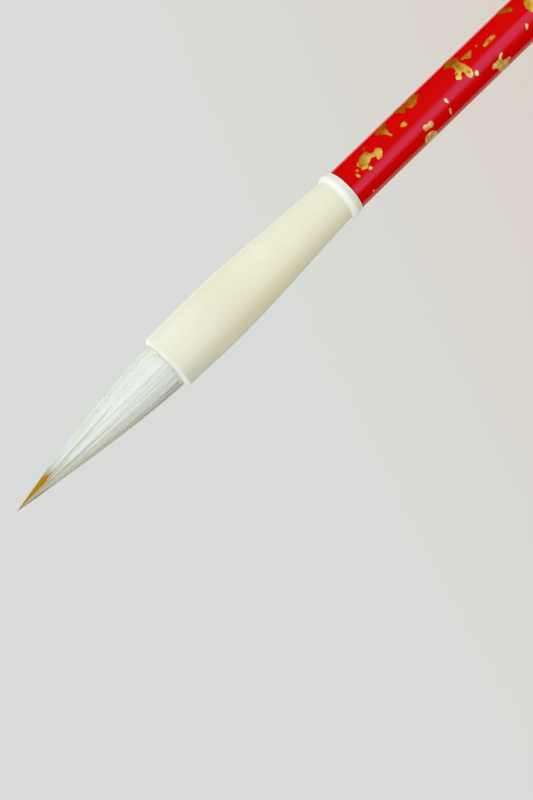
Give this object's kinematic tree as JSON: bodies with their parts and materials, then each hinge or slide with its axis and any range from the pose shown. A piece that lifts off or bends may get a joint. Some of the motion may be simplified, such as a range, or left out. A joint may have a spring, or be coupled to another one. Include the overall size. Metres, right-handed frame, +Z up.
{
  "type": "calligraphy brush",
  "caption": "Writing brush with a lacquered tube handle, a moulded bell ferrule and a springy pointed hair tuft, hung by a cross hole in its tail cap.",
  "frame": {"origin": "middle of the cord hole through the tail cap, on the brush's axis", "axes": "+Z up the handle towards the tail, so the point hangs down; +X along the cord hole"},
  "size_m": [0.0132, 0.0132, 0.28],
  "materials": {
    "red_lacquer": "bamboo tube under glossy red lacquer with gold flecks",
    "cream_plastic": "smooth satin moulding",
    "white_plastic": "polished",
    "gold_leaf": "flecks of gold leaf in the lacquer",
    "white_hair": "straight fine white goat hair",
    "lining_hair": "straight soft off-white hair",
    "brown_hair": "straight stiff golden brown hair",
    "thread": "waxed cotton thread",
    "rosin": "fused rosin",
    "yellow_glue": "aged translucent adhesive",
    "clear_glue": "clear adhesive film"
  },
  "bodies": {
    "brush_body": {"handle_tube": "red_lacquer", "ferrule": "cream_plastic", "collar_ring": "white_plastic", "tenon_glue": "clear_glue", "tail_ring": "white_plastic", "tail_cap": "cream_plastic", "cap_glue": "clear_glue", "tuft_glue": "yellow_glue", "root_seal": "rosin", "binding_thread": "thread", "core_hair_root": "brown_hair", "lining_hair_root": "lining_hair", "cover_hair_root": "white_hair"},
    "tuft_belly": {"core_hair_belly": "brown_hair", "lining_hair_belly": "lining_hair", "cover_hair_belly": "white_hair"},
    "tuft_waist": {"core_hair_waist": "brown_hair", "lining_hair_waist": "lining_hair", "cover_hair_waist": "white_hair"},
    "tuft_shoulder": {"core_hair_shoulder": "brown_hair", "cover_hair_shoulder": "white_hair"},
    "tuft_point": {"core_hair_point": "brown_hair", "cover_hair_point": "white_hair"}
  },
  "joints": [
    {"name": "belly_bend", "type": "hinge", "parent": "brush_body", "child": "tuft_belly", "pos_m": [0, 0, -0.2388], "axis": [1, 0, 0], "range_deg": [-18, 18], "stiffness_Nm_per_rad": 0.004},
    {"name": "waist_bend", "type": "hinge", "parent": "tuft_belly", "child": "tuft_waist", "pos_m": [0, 0, -0.2478], "axis": [0, 1, 0], "range_deg": [-20, 20], "stiffness_Nm_per_rad": 0.003},
    {"name": "shoulder_bend", "type": "hinge", "parent": "tuft_waist", "child": "tuft_shoulder", "pos_m": [0, 0, -0.2568], "axis": [1, 0, 0], "range_deg": [-23.5, 23.5]},
    {"name": "point_bend", "type": "hinge", "parent": "tuft_shoulder", "child": "tuft_point", "pos_m": [0, 0, -0.2648], "axis": [0, 1, 0], "range_deg": [-26.1, 26.1]}
  ],
  "couplings": [
    {"joint": "shoulder_bend", "follows": "belly_bend", "ratio": 1.3},
    {"joint": "point_bend", "follows": "waist_bend", "ratio": 1.3}
  ]
}
